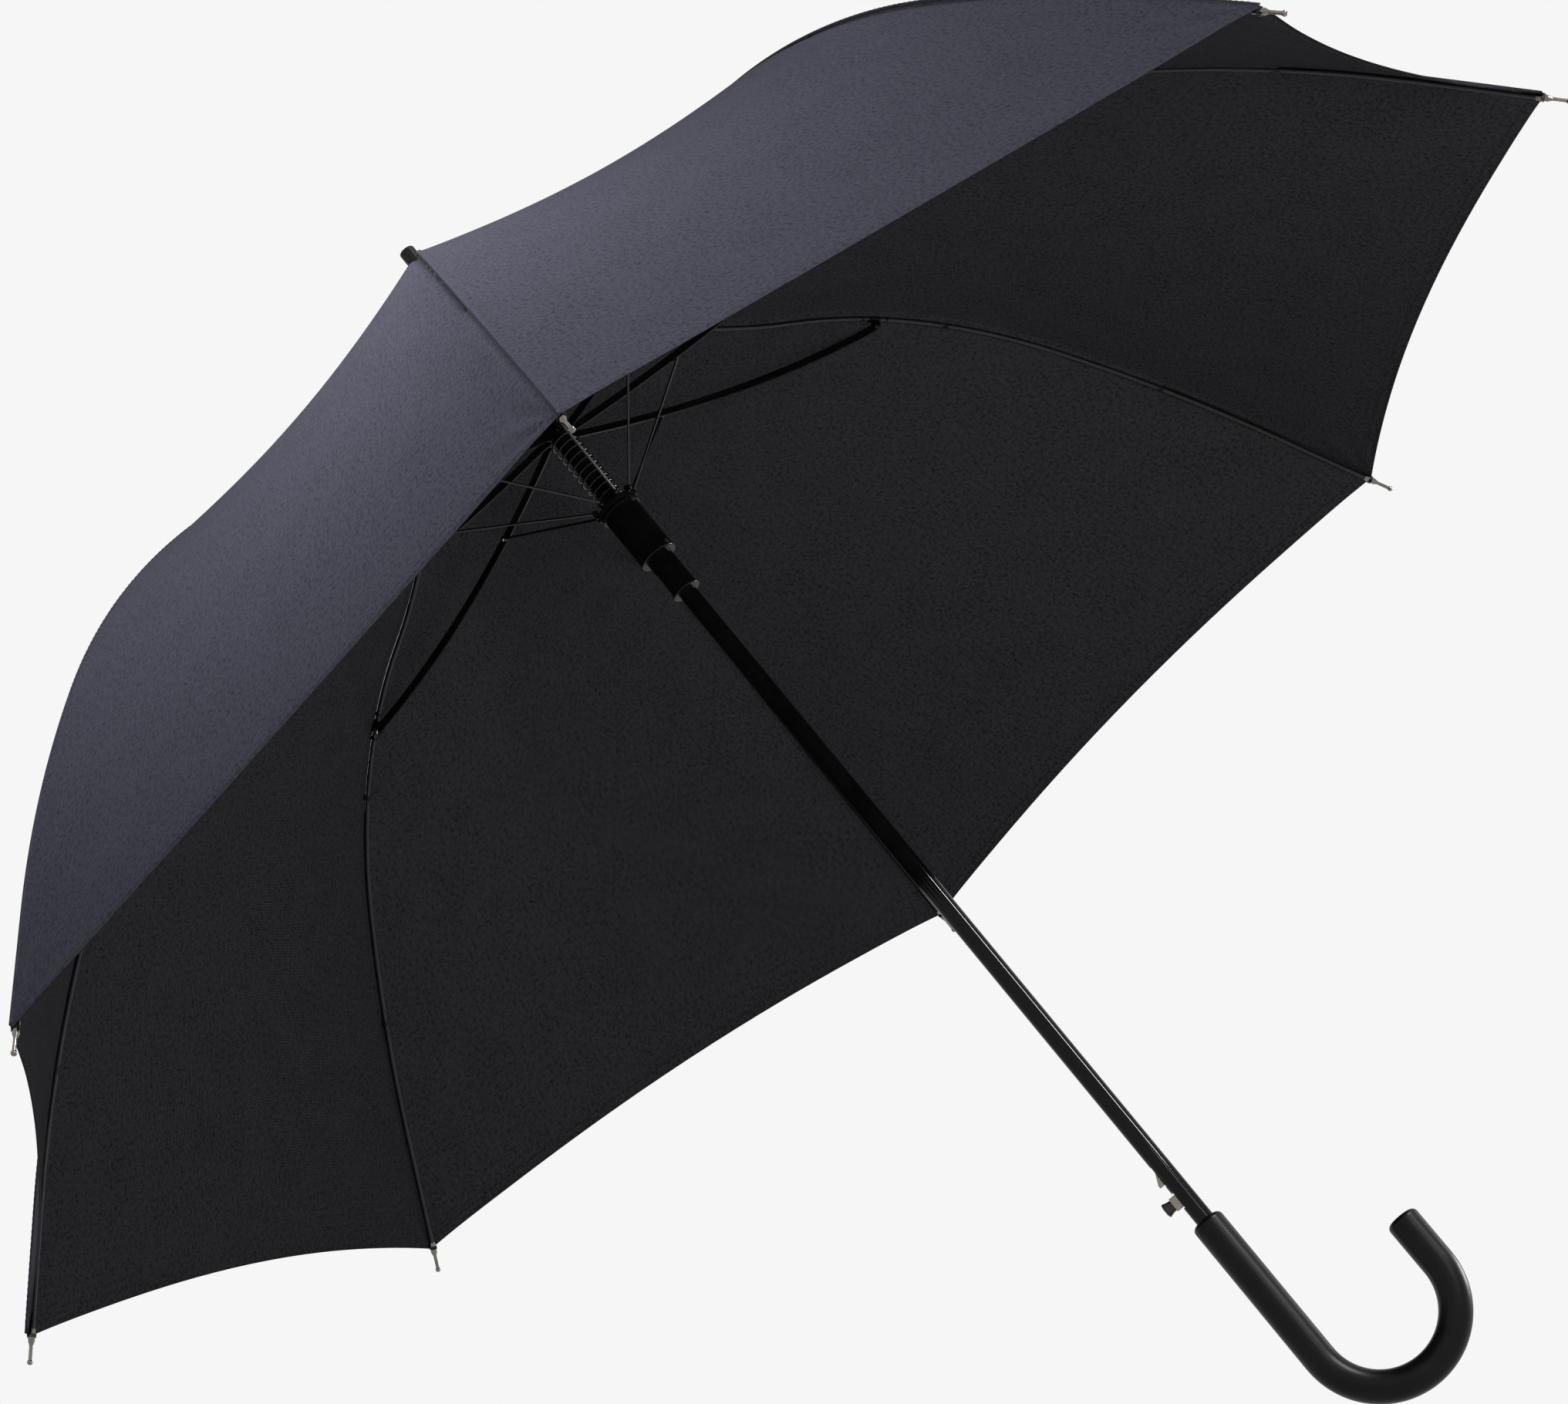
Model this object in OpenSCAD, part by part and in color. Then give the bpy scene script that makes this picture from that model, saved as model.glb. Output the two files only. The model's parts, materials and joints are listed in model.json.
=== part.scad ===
// Stick umbrella with eight ribs and a spring-opened frame, drawn fully open.
// Units are millimetres. Z runs up the shaft to the ferrule. The origin is the
// centre of the handle's mouth. The crook turns to +X and the button is on -X.

/* [Shaft and ferrule] */
// Outer diameter of the shaft tube
shaft_d = 10; // [9.6:0.1:10.2]
// Wall of the shaft tube
shaft_wall = 1; // [0.7:0.1:1.2]
// Visible diameter of the ferrule
ferrule_d = 9.1; // [8.4:0.1:10]
// Height of the shaft's end above the mouth of the handle
shaft_top_z = 682; // [640:0.5:780]
// Depth to which the shaft is set in the handle
shaft_socket = 40; // [30:1:60]
// Length of the ferrule above the shaft's end
ferrule_length = 12.7; // [8:0.1:20]
// Length of the ferrule's stem inside the shaft
ferrule_stem = 18; // [12:1:25]

/* [Handle] */
// Diameter of the grip
grip_d = 17.4; // [16.4:0.1:19]
// Straight length of the grip below its mouth
grip_length = 90.2; // [70:0.1:120]
// Bend radius of the crook, on its centre line
crook_r = 38; // [30:0.5:45]
// Straight tail after the bend
tail_length = 29; // [15:1:45]
// Rounding of the two ends
end_round = 3; // [1:0.5:5]

/* [Ribs] */
// Diameter of a rib rod
rib_d = 2.9; // [2.6:0.1:3.1]
// Distance of the rib pivots from the shaft's axis
crown_pivot_r = 12.5; // [12.2:0.1:12.8]
// Distance of the rib pivots below the shaft's end
crown_drop = 14; // [13:0.1:16]
// Slope of a rib at the crown, in degrees below level
slope_crown = 42.8; // [41.5:0.1:44]
// Slope where the hollow stretch meets the shoulder
slope_flat = 8.7; // [8:0.1:9.5]
// Slope at the end of the shoulder
slope_shoulder = 39.7; // [38.5:0.1:41]
// Slope of the straight end
slope_tip = 50.2; // [49:0.1:51.5]
// Bend radius of the hollow stretch
bend_crown_r = 365; // [360:1:370]
// Bend radius of the shoulder
bend_shoulder_r = 335; // [330:1:340]
// Bend radius of the outer stretch
bend_outer_r = 797; // [780:1:815]
// Length of the straight end
rib_end_length = 70; // [60:1:80]

/* [Rib tips] */
// Diameter of the ball on a rib tip
ball_d = 3.1; // [2.6:0.1:4.2]
// Distance of the ball from the rib's end
ball_reach = 11.5; // [10:0.5:14]

/* [Stretchers and links] */
// Arc length along a rib, from its pivot to the stretcher joint
joint_arc = 277; // [275:0.5:279]
// Drop of the stretcher's rivet below the rib
joint_drop = 4.2; // [4:0.1:4.6]
// Distance of the stretcher pivots from the shaft's axis
hub_pivot_r = 10; // [9.8:0.1:10.4]
// Distance of the stretcher pivots below the rib pivots
hub_drop = 116.1; // [114:0.1:118]
// Bow of a stretcher at its middle
stretcher_bow = 7.6; // [5:0.1:9]
// Height of a stretcher's section
stretcher_h = 4; // [3.6:0.1:4.2]
// Width of a stretcher's section
stretcher_w = 1.6; // [1.4:0.05:1.7]
// Share of a stretcher's length at which its link is riveted
link_share = 0.272; // [0.25:0.002:0.29]
// Diameter of a link wire
link_d = 1.4; // [1.2:0.1:1.5]

/* [Runner and spring] */
// Distance of the link pivots from the shaft's axis
runner_pivot_r = 11.5; // [11.3:0.1:11.7]
// Distance of the link pivots below the stretcher pivots
runner_drop = 49.9; // [48:0.1:52]
// Height of the runner's barrel, from its ring to its flange
barrel_length = 38.7; // [34:0.1:44]
// Length of the runner's sleeve below the barrel
sleeve_length = 24.9; // [20:0.1:30]
// Height of the grooved ring
ring_h = 4.95; // [4.5:0.05:5.5]
// Diameter of the runner's flange
flange_d = 24.6; // [23.6:0.1:25.4]
// Diameter of the runner's barrel
barrel_d = 21.2; // [20.2:0.1:22]
// Diameter of the runner's lower sleeve
sleeve_d = 15; // [14:0.1:16]
// Wire diameter of the opening spring
spring_wire = 1.4; // [1.1:0.1:1.5]
// Outer diameter of the opening spring
spring_d = 16.2; // [15.6:0.1:16.6]
// Turns of the opening spring
spring_turns = 12; // [10:1:13]

/* [Catch] */
// Height of the catch's step above the mouth
catch_z = 27; // [26:0.5:29]
// How far the catch stands out of the shaft
catch_reach = 2.6; // [2:0.1:3.2]
// Height of the button's middle above the mouth
button_z = 16; // [14.5:0.5:17]
// How far the button stands out of the shaft
button_reach = 7.9; // [7:0.1:11]
// How far the button's block stands out of the shaft
block_reach = 3; // [2.4:0.1:4.5]
// Height of the button's block
block_h = 7; // [5:0.1:9]

/* [Canopy] */
// Thickness of the cloth
cloth_t = 0.5; // [0.4:0.05:0.7]
// Inward sag of a panel between two ribs near the crown, as a share of its radius
panel_sag = 0.08; // [0.04:0.005:0.1]
// The same sag at the hem
hem_sag = 0.022; // [0.01:0.002:0.04]
// Scallop of a hem, as a share of the rib's length
hem_scallop = 0.014; // [0.005:0.001:0.03]

/* [Hidden] */
$fn = 32;
rib_count = 8;
rib_step = 360 / rib_count;
first_rib = -45;
run_gap = 0.05;
pin_gap = 0.05;
rib_r = rib_d / 2;

// Heights that follow the shaft's end
ferrule_top_z = shaft_top_z + ferrule_length;
crown_pivot_z = shaft_top_z - crown_drop;
hub_pivot_z = crown_pivot_z - hub_drop;
runner_pivot_z = hub_pivot_z - runner_drop;

// Sideways places of the moving bars beside their rib, so that they pass each other
clip_r = rib_r + 0.6;
stretcher_y = clip_r + 0.1 + stretcher_w / 2;
link_y = stretcher_y + stretcher_w / 2 + 0.2 + link_d / 2;

// The rib's line in its own upright plane, as [distance from the axis, height]
function dir(a) = [cos(a), -sin(a)];
function side(a) = [sin(a), cos(a)];
p_crown = [crown_pivot_r, crown_pivot_z];
c_crown = p_crown + bend_crown_r * side(slope_crown);
p_flat = c_crown - bend_crown_r * side(slope_flat);
c_shoulder = p_flat - bend_shoulder_r * side(slope_flat);
p_shoulder = c_shoulder + bend_shoulder_r * side(slope_shoulder);
c_outer = p_shoulder - bend_outer_r * side(slope_shoulder);
p_outer = c_outer + bend_outer_r * side(slope_tip);
p_end = p_outer + rib_end_length * dir(slope_tip);
function arc_of(r, a) = r * a * PI / 180;
len_crown = arc_of(bend_crown_r, slope_crown - slope_flat);
len_shoulder = arc_of(bend_shoulder_r, slope_shoulder - slope_flat);
len_outer = arc_of(bend_outer_r, slope_tip - slope_shoulder);
s_flat = len_crown;
s_shoulder = s_flat + len_shoulder;
s_outer = s_shoulder + len_outer;
s_end = s_outer + rib_end_length;
function turn(s, r) = s / r * 180 / PI;
function rib_slope(s) =
    s < 0 ? slope_crown
    : s < s_flat ? slope_crown - turn(s, bend_crown_r)
    : s < s_shoulder ? slope_flat + turn(s - s_flat, bend_shoulder_r)
    : s < s_outer ? slope_shoulder + turn(s - s_shoulder, bend_outer_r)
    : slope_tip;
function rib_point(s) =
    s < 0 ? p_crown + s * dir(slope_crown)
    : s < s_flat ? c_crown - bend_crown_r * side(rib_slope(s))
    : s < s_shoulder ? c_shoulder + bend_shoulder_r * side(rib_slope(s))
    : s < s_outer ? c_outer + bend_outer_r * side(rib_slope(s))
    : p_outer + (s - s_outer) * dir(slope_tip);

// Pivots of the stretcher and of its link
p_clip = rib_point(joint_arc);
a_clip = rib_slope(joint_arc);
p_joint = p_clip - joint_drop * side(a_clip);
p_hub = [hub_pivot_r, hub_pivot_z];
p_runner = [runner_pivot_r, runner_pivot_z];
chord = p_joint - p_hub;
chord_len = norm(chord);
chord_up = atan2(chord[1], chord[0]);
bow_r = chord_len * chord_len / (8 * stretcher_bow) + stretcher_bow / 2;
bow_half = asin(chord_len / (2 * bow_r));
c_bow = (p_hub + p_joint) / 2 + (bow_r - stretcher_bow) * [-sin(chord_up), cos(chord_up)];
function bow_point(u) =
    let (psi = 270 + chord_up + (2 * u - 1) * bow_half) c_bow + bow_r * [cos(psi), sin(psi)];
p_link = bow_point(link_share);
link_vec = p_link - p_runner;
link_len = norm(link_vec);
link_up = atan2(link_vec[1], link_vec[0]);
echo(stretcher_length = chord_len, link_length = link_len, link_rivet = p_link, joint = p_joint);

// Places a child drawn in the rib plane at rib k
module at_rib(k) {
    rotate([0, 0, first_rib + k * rib_step])
        children();
}

// A pin or eye across the rib plane, centred on a point, from one side place to another
module across(p, d, y0, y1) {
    translate([p[0], y1, p[1]])
        rotate([90, 0, 0])
            cylinder(d = d, h = y1 - y0);
}

// A round bar between two points of the rib plane
module bar(p, q, d, y) {
    v = q - p;
    translate([p[0], y, p[1]])
        rotate([0, 90 - atan2(v[1], v[0]), 0])
            cylinder(d = d, h = norm(v));
}

// A bent round rod about a centre in the rib plane
module bent_rod(c, r, start, sweep, d) {
    translate([c[0], 0, c[1]])
        rotate([90, 0, 0])
            rotate([0, 0, start])
                rotate_extrude(angle = sweep, $fn = 96)
                    translate([r, 0])
                        circle(d = d);
}

// Shaft, crown and ferrule
catch_slot_top = catch_z + 11;
module shaft_tube() {
    color([0.06, 0.06, 0.07])
        difference() {
            translate([0, 0, -shaft_socket])
                cylinder(d = shaft_d, h = shaft_socket + shaft_top_z);
            translate([0, 0, -shaft_socket - 1])
                cylinder(d = shaft_d - 2 * shaft_wall, h = shaft_socket + shaft_top_z + 2);
            translate([-shaft_d, -1.8, catch_z - 1.5])
                cube([shaft_d, 3.6, catch_slot_top - catch_z + 2]);
            translate([-shaft_d, -3, button_z - block_h / 2 - 1.5])
                cube([shaft_d, 6, block_h + 3]);
        }
}

module ferrule_cap() {
    stem_d = shaft_d - 2 * shaft_wall - 0.04;
    color([0.05, 0.05, 0.05])
        union() {
            translate([0, 0, shaft_top_z - ferrule_stem])
                cylinder(d = stem_d, h = ferrule_stem + 0.5);
            rotate_extrude()
                polygon([
                    [0, shaft_top_z], [ferrule_d / 2, shaft_top_z], [ferrule_d / 2, ferrule_top_z - 0.9],
                    [ferrule_d / 2 - 0.3, ferrule_top_z - 0.25], [ferrule_d / 2 - 0.9, ferrule_top_z],
                    [0, ferrule_top_z]
                ]);
        }
}

crown_eye_d = rib_d + 1.5;
fork_in = rib_r + 0.2;
fork_out = fork_in + 1.05;
module crown() {
    color([0.08, 0.08, 0.09])
        difference() {
            union() {
                translate([0, 0, crown_pivot_z - 5])
                    cylinder(d = 17, h = 12);
                for (k = [0:rib_count - 1])
                    at_rib(k) {
                        for (m = [-1, 1])
                            fork_cheek(m);
                        across(p_crown, 1.6, -fork_out, fork_out);
                    }
            }
            translate([0, 0, crown_pivot_z - 6])
                cylinder(d = shaft_d + 0.02, h = 14);
        }
}

// One cheek of the crown's fork beside a rib
module fork_cheek(m) {
    y0 = m > 0 ? fork_in : -fork_out;
    across(p_crown, 4.2, y0, y0 + fork_out - fork_in);
    translate([7.5, y0, crown_pivot_z - 2.1])
        cube([crown_pivot_r - 7.5, fork_out - fork_in, 4.2]);
}

// Stretcher hub and the opening spring
hub_bottom = hub_pivot_z - 1.6;
module stretcher_hub() {
    lug_y1 = stretcher_y - stretcher_w / 2 - 0.1;
    color([0.08, 0.08, 0.09])
        difference() {
            union() {
                translate([0, 0, hub_bottom])
                    cylinder(d = 15, h = 8);
                translate([0, 0, hub_bottom + 6.4])
                    cylinder(d = 16.4, h = 1.6);
                for (k = [0:rib_count - 1])
                    at_rib(k) {
                        across(p_hub, 3, 0.6, lug_y1);
                        translate([6, 0.6, hub_pivot_z - 1.5])
                            cube([hub_pivot_r - 6, lug_y1 - 0.6, 3]);
                        across(p_hub, 1.5, lug_y1 - 0.1, stretcher_y + stretcher_w / 2 + 0.2);
                    }
            }
            translate([0, 0, hub_bottom - 1])
                cylinder(d = shaft_d + 2 * run_gap, h = 11);
        }
}

// Heights of the runner's parts
flange_top = runner_pivot_z - 2;
barrel_low = flange_top - barrel_length;
sleeve_low = barrel_low - sleeve_length;
ring_top = barrel_low + ring_h;
spring_seat_z = runner_pivot_z - 8;

// The spring is one tube swept along a helix, with a straight lead at both ends
spring_r = (spring_d - spring_wire) / 2;
spring_z0 = spring_seat_z + spring_wire / 2 + 0.05;
spring_z1 = hub_bottom - spring_wire / 2 - 0.05;
spring_pitch = (spring_z1 - spring_z0) / spring_turns;
spring_steps = spring_turns * 8;
spring_sides = 6;
spring_self_gap = spring_pitch - spring_wire;
echo(spring_self_gap = spring_self_gap);
function helix_point(i) =
    let (a = i * 45) [spring_r * cos(a), spring_r * sin(a), spring_z0 + spring_pitch * i / 8];
function spring_centre(i) =
    i < 0 ? helix_point(0) - spring_wire * [0, 1, 0]
    : i > spring_steps ? helix_point(spring_steps) + spring_wire * [0, 1, 0]
    : helix_point(i);
function spring_out(i) =
    let (a = (i < 0 ? 0 : i > spring_steps ? spring_steps : i) * 45) [cos(a), sin(a), 0];
module opening_spring() {
    rings = [for (i = [-1:spring_steps + 1])
        [for (j = [0:spring_sides - 1])
            let (b = j * 360 / spring_sides)
                spring_centre(i) + spring_wire / 2 * (cos(b) * spring_out(i) + sin(b) * [0, 0, 1])]];
    points = [for (ring = rings) for (p = ring) p];
    n = len(rings);
    sides = [for (i = [0:n - 2]) for (j = [0:spring_sides - 1])
        let (a = i * spring_sides + j, b = i * spring_sides + (j + 1) % spring_sides)
            [a, a + spring_sides, b + spring_sides, b]];
    first = [for (j = [0:spring_sides - 1]) j];
    last = [for (j = [spring_sides - 1:-1:0]) (n - 1) * spring_sides + j];
    color([0.1, 0.1, 0.1])
        polyhedron(points = points, faces = concat(sides, [first, last]));
}

// Runner
module runner_barrel() {
    lug_y1 = link_y - link_d / 2 - 0.15;
    lug_y0 = lug_y1 - 1.5;
    color([0.07, 0.07, 0.08])
        difference() {
            union() {
                translate([0, 0, flange_top - 2.4])
                    cylinder(d = flange_d, h = 2.4);
                translate([0, 0, flange_top - 5.2])
                    cylinder(d = flange_d - 0.8, h = 1.6);
                translate([0, 0, ring_top + run_gap])
                    cylinder(d = barrel_d, h = flange_top - ring_top - 1);
                for (k = [0:rib_count - 1])
                    at_rib(k) {
                        across(p_runner, 3, lug_y0, lug_y1);
                        translate([runner_pivot_r - 1.5, lug_y0, flange_top - 0.5])
                            cube([3, lug_y1 - lug_y0, 2.5]);
                        across(p_runner, 1.2, lug_y1 - 0.1, link_y + link_d / 2 + 0.15);
                    }
            }
            translate([0, 0, barrel_low])
                cylinder(d = shaft_d + 2 * run_gap, h = barrel_length + 10);
            translate([0, 0, spring_seat_z])
                cylinder(d = spring_d + 0.7, h = 20);
        }
}

// Grooved ring that closes the barrel's lower end
module runner_ring() {
    groove = 0.35;
    color([0.12, 0.12, 0.12])
        difference() {
            translate([0, 0, barrel_low])
                cylinder(d = barrel_d, h = ring_h);
            translate([0, 0, barrel_low - 1])
                cylinder(d = sleeve_d + 0.02, h = ring_h + 2);
            for (i = [0:2])
                translate([0, 0, barrel_low + 1.5 + 1.1 * i])
                    difference() {
                        cylinder(d = barrel_d + 2, h = 0.5);
                        translate([0, 0, -1])
                            cylinder(d = barrel_d - 2 * groove, h = 3);
                    }
        }
}

module runner_sleeve() {
    color([0.07, 0.07, 0.08])
        difference() {
            union() {
                translate([0, 0, sleeve_low])
                    cylinder(d = sleeve_d, h = ring_top - sleeve_low);
                translate([0, 0, sleeve_low])
                    cylinder(d = sleeve_d + 1, h = 2.2);
            }
            translate([0, 0, sleeve_low - 1])
                cylinder(d = shaft_d + 2 * run_gap, h = ring_top - sleeve_low + 2);
            translate([-sleeve_d, -2.2, sleeve_low + 4])
                cube([sleeve_d, 4.4, 13]);
        }
}

// Catch: a leaf inside the shaft that carries the wedge and the button's block
leaf_x = -(shaft_d / 2 - shaft_wall - 0.5);
module hand_spring() {
    out = -shaft_d / 2 - catch_reach;
    color([0.62, 0.58, 0.52])
        union() {
            translate([leaf_x, -1.2, -10])
                cube([0.6, 2.4, catch_z + 18]);
            translate([0, 1.3, 0])
                rotate([90, 0, 0])
                    linear_extrude(height = 2.6)
                        polygon([
                            [leaf_x + 0.3, catch_z], [out, catch_z], [out, catch_z + 1.2],
                            [leaf_x - 0.2, catch_z + 9.5], [leaf_x + 0.3, catch_z + 9.5]
                        ]);
            translate([-shaft_d / 2 - block_reach, -2.2, button_z - block_h / 2])
                cube([block_reach + shaft_d / 2 + leaf_x + 0.3, 4.4, block_h]);
        }
}

module button_cap() {
    inner = -shaft_d / 2 - block_reach - 0.02;
    outer = -shaft_d / 2 - button_reach;
    low = block_h / 2 - 0.5;
    flare = block_h / 2 + 0.4;
    color([0.1, 0.08, 0.07])
        translate([0, 2.8, 0])
            rotate([90, 0, 0])
                linear_extrude(height = 5.6)
                    polygon([
                        [inner, button_z - low], [inner, button_z + low], [outer + 1.8, button_z + low + 0.1],
                        [outer + 0.6, button_z + flare], [outer, button_z + flare - 1], [outer - 0.4, button_z],
                        [outer, button_z - flare + 1], [outer + 0.6, button_z - flare],
                        [outer + 1.8, button_z - low - 0.1]
                    ]);
}

// Handle: straight grip, half-turn crook and straight tail
module grip_end(z, up) {
    r = grip_d / 2;
    translate([0, 0, z])
        mirror([0, 0, up ? 0 : 1])
            rotate_extrude()
                union() {
                    square([r - end_round, end_round]);
                    intersection() {
                        translate([r - end_round, 0])
                            circle(r = end_round, $fn = 48);
                        translate([r - end_round, 0])
                            square([end_round, end_round]);
                    }
                }
}

module handle() {
    color([0.09, 0.09, 0.1])
        difference() {
            union() {
                translate([0, 0, -grip_length])
                    cylinder(d = grip_d, h = grip_length - end_round);
                grip_end(-end_round, true);
                translate([crook_r, 0, -grip_length])
                    rotate([90, 0, 0])
                        rotate([0, 0, 180])
                            rotate_extrude(angle = 180, $fn = 96)
                                translate([crook_r, 0])
                                    circle(d = grip_d, $fn = 64);
                translate([2 * crook_r, 0, -grip_length])
                    cylinder(d = grip_d, h = tail_length - end_round);
                translate([2 * crook_r, 0, 0])
                    grip_end(-grip_length + tail_length - end_round, true);
            }
            translate([0, 0, -shaft_socket])
                cylinder(d = shaft_d + 0.02, h = shaft_socket + 20);
        }
}

// Rib, its tip and the clip that joins the stretcher to it
module rib(k) {
    nick = 0.1;
    eye_gap = 0.12;
    color([0.1, 0.1, 0.11])
        at_rib(k)
            difference() {
                union() {
                    across(p_crown, crown_eye_d, -fork_in + eye_gap, fork_in - eye_gap);
                    rib_stretch(c_crown, bend_crown_r, 270 - slope_crown, slope_crown - slope_flat, 0, nick);
                    rib_stretch(c_shoulder, bend_shoulder_r, 90 - slope_shoulder,
                                slope_shoulder - slope_flat, nick, nick);
                    rib_stretch(c_outer, bend_outer_r, 90 - slope_tip, slope_tip - slope_shoulder, nick, nick);
                    bar(p_outer + nick * dir(slope_tip), p_end, rib_d, 0);
                    for (s = [s_flat, s_shoulder, s_outer])
                        splice(rib_point(s), rib_slope(s));
                }
                across(p_crown, 1.6 + 2 * pin_gap, -3, 3);
            }
}

// One bent stretch of a rib, cut short at its two ends inside the splices
module rib_stretch(c, r, start, sweep, cut0, cut1) {
    bent_rod(c, r, start + turn(cut0, r), sweep - turn(cut0 + cut1, r), rib_d);
}

// A thin splice that joins two stretches of a rib
module splice(p, a) {
    translate([p[0], 0, p[1]])
        rotate([0, 90 + a, 0])
            translate([0, 0, -0.7])
                cylinder(d = rib_d + 0.24, h = 1.4);
}

module rib_tip(k) {
    tube_back = 6;
    tube_over = 0.4;
    taper = 2.4;
    neck_d = 2;
    tube_d = rib_d + 0.8;
    color([0.8, 0.79, 0.76])
        at_rib(k)
            translate([p_end[0], 0, p_end[1]])
                rotate([0, 90 + slope_tip, 0])
                    difference() {
                        union() {
                            translate([0, 0, -tube_back])
                                cylinder(d = tube_d, h = tube_back + tube_over);
                            translate([0, 0, tube_over])
                                cylinder(d1 = tube_d, d2 = neck_d, h = taper);
                            translate([0, 0, tube_over + taper])
                                cylinder(d = neck_d, h = ball_reach - tube_over - taper);
                            translate([0, 0, ball_reach])
                                sphere(d = ball_d);
                        }
                        translate([0, 0, -tube_back - 1])
                            cylinder(d = rib_d + 0.02, h = tube_back + 1.01);
                    }
}

module rib_joint(k) {
    color([0.09, 0.09, 0.1])
        at_rib(k)
            difference() {
                union() {
                    translate([p_clip[0], 0, p_clip[1]])
                        rotate([0, 90 + a_clip, 0]) {
                            translate([0, 0, -3.5])
                                cylinder(r = clip_r, h = 7);
                            for (z = [-9, 8])
                                translate([0, 0, z])
                                    cylinder(r = rib_r + 0.35, h = 1.2);
                        }
                    across(p_joint, 4.6, -1.1, 1.1);
                    translate([p_joint[0], -1.1, p_joint[1]])
                        rotate([0, a_clip, 0])
                            translate([-2.3, 0, 0])
                                cube([4.6, 2.2, joint_drop - rib_r + 0.6]);
                    across(p_joint, 2.2, -1.9, stretcher_y - stretcher_w / 2 - pin_gap);
                }
                bent_rod(c_shoulder, bend_shoulder_r, 90 - slope_shoulder,
                         slope_shoulder - slope_flat, rib_d + 0.02);
            }
}

// Section of a stretcher, with a groove along both of its faces
module grooved_section() {
    h = stretcher_h / 2;
    w = stretcher_w / 2 - 0.1;
    groove_h = stretcher_h * 0.2;
    groove_w = w - 0.4;
    polygon([
        [-h, -w], [-groove_h, -w], [-groove_h, -groove_w], [groove_h, -groove_w], [groove_h, -w], [h, -w],
        [h, w], [groove_h, w], [groove_h, groove_w], [-groove_h, groove_w], [-groove_h, w], [-h, w]
    ]);
}

// Stretcher: a bowed bar with an eye at the hub, a rivet head at the clip and a stud for its link
module stretcher(k) {
    y0 = stretcher_y - stretcher_w / 2;
    y1 = stretcher_y + stretcher_w / 2;
    color([0.08, 0.08, 0.09])
        at_rib(k)
            difference() {
                union() {
                    translate([c_bow[0], 0, c_bow[1]])
                        rotate([90, 0, 0])
                            rotate([0, 0, 270 + chord_up - bow_half])
                                rotate_extrude(angle = 2 * bow_half, $fn = 96)
                                    translate([bow_r, -stretcher_y])
                                        grooved_section();
                    across(p_hub, 4, y0, y1);
                    across(p_joint, 4.6, y0, y1);
                    across(p_joint, 3.6, y1 - 0.2, y1 + 0.6);
                    across(p_link, 1.3, stretcher_y, link_y - link_half - pin_gap);
                }
                across(p_hub, 1.5 + 2 * pin_gap, y0 - 1, y1 + 1);
            }
}

// Link: a wire with an eye at the runner and a rivet head at the stretcher
link_half = link_d / 2 + 0.06;
module link(k) {
    y0 = link_y - link_half;
    y1 = link_y + link_half;
    color([0.12, 0.12, 0.12])
        at_rib(k)
            difference() {
                union() {
                    bar(p_runner, p_link, link_d, link_y);
                    across(p_runner, 3.4, y0, y1);
                    across(p_link, 3.4, y0, y1);
                    across(p_link, 2.6, y1 - 0.2, y1 + 0.5);
                }
                across(p_runner, 1.2 + 2 * pin_gap, y0 - 1, y1 + 1);
            }
}

// Canopy panel k, sewn between rib k and the next rib
gore_rows = 22;
gore_cols = 8;
gore_to = s_end - 1.5;
neck = [shaft_d / 2 + 1.3, shaft_top_z - 1];
neck_s = 14;
seam_gap = 0.06;
half_step = rib_step / 2;
function ease(x) = x * x * (3 - 2 * x);
function sag_at(u) = panel_sag + (hem_sag - panel_sag) * ease(max(0, min(1, (u - 0.3) / 0.7)));
cloth_lift = clip_r + 0.75;
function over_rib(s, t) = rib_point(s) + (cloth_lift + t) * side(rib_slope(s));
neck_fall = over_rib(neck_s, 0) - neck;
neck_side = [-neck_fall[1], neck_fall[0]] / norm(neck_fall);
function cloth_point(s, t) = s < neck_s ? neck + neck_fall * s / neck_s + t * neck_side : over_rib(s, t);
function gore_point(u, v, t) =
    let (
        b = 1 - v * v,
        p = cloth_point(gore_to * (1 - hem_scallop * b) * u, t),
        shrink = 1 - sag_at(u) * b,
        x = p[0] * cos(half_step) * shrink,
        y = (p[0] * sin(half_step) - seam_gap) * shrink * v
    ) [x, y, p[1]];
module gore(k) {
    low = [for (i = [0:gore_rows]) for (j = [0:gore_cols])
        gore_point(i / gore_rows, 2 * j / gore_cols - 1, 0)];
    top = [for (i = [0:gore_rows]) for (j = [0:gore_cols])
        gore_point(i / gore_rows, 2 * j / gore_cols - 1, cloth_t)];
    w = gore_cols + 1;
    n = (gore_rows + 1) * w;
    cells = [for (i = [0:gore_rows - 1]) for (j = [0:gore_cols - 1]) i * w + j];
    top_faces = [for (a = cells) each [[n + a, n + a + w, n + a + w + 1], [n + a, n + a + w + 1, n + a + 1]]];
    low_faces = [for (a = cells) each [[a, a + w + 1, a + w], [a, a + 1, a + w + 1]]];
    inner_rim = [for (j = [0:gore_cols - 1]) [j, n + j, n + j + 1, j + 1]];
    outer_rim = [for (j = [0:gore_cols - 1])
        let (a = gore_rows * w + j) [a, a + 1, n + a + 1, n + a]];
    left_rim = [for (i = [0:gore_rows - 1]) let (a = i * w) [a, a + w, n + a + w, n + a]];
    right_rim = [for (i = [0:gore_rows - 1])
        let (a = i * w + gore_cols) [a, n + a, n + a + w, a + w]];
    color([0.24, 0.25, 0.29])
        rotate([0, 0, first_rib + k * rib_step + half_step])
            polyhedron(
                points = concat(low, top),
                faces = concat(top_faces, low_faces, inner_rim, outer_rim, left_rim, right_rim)
            );
}

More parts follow.
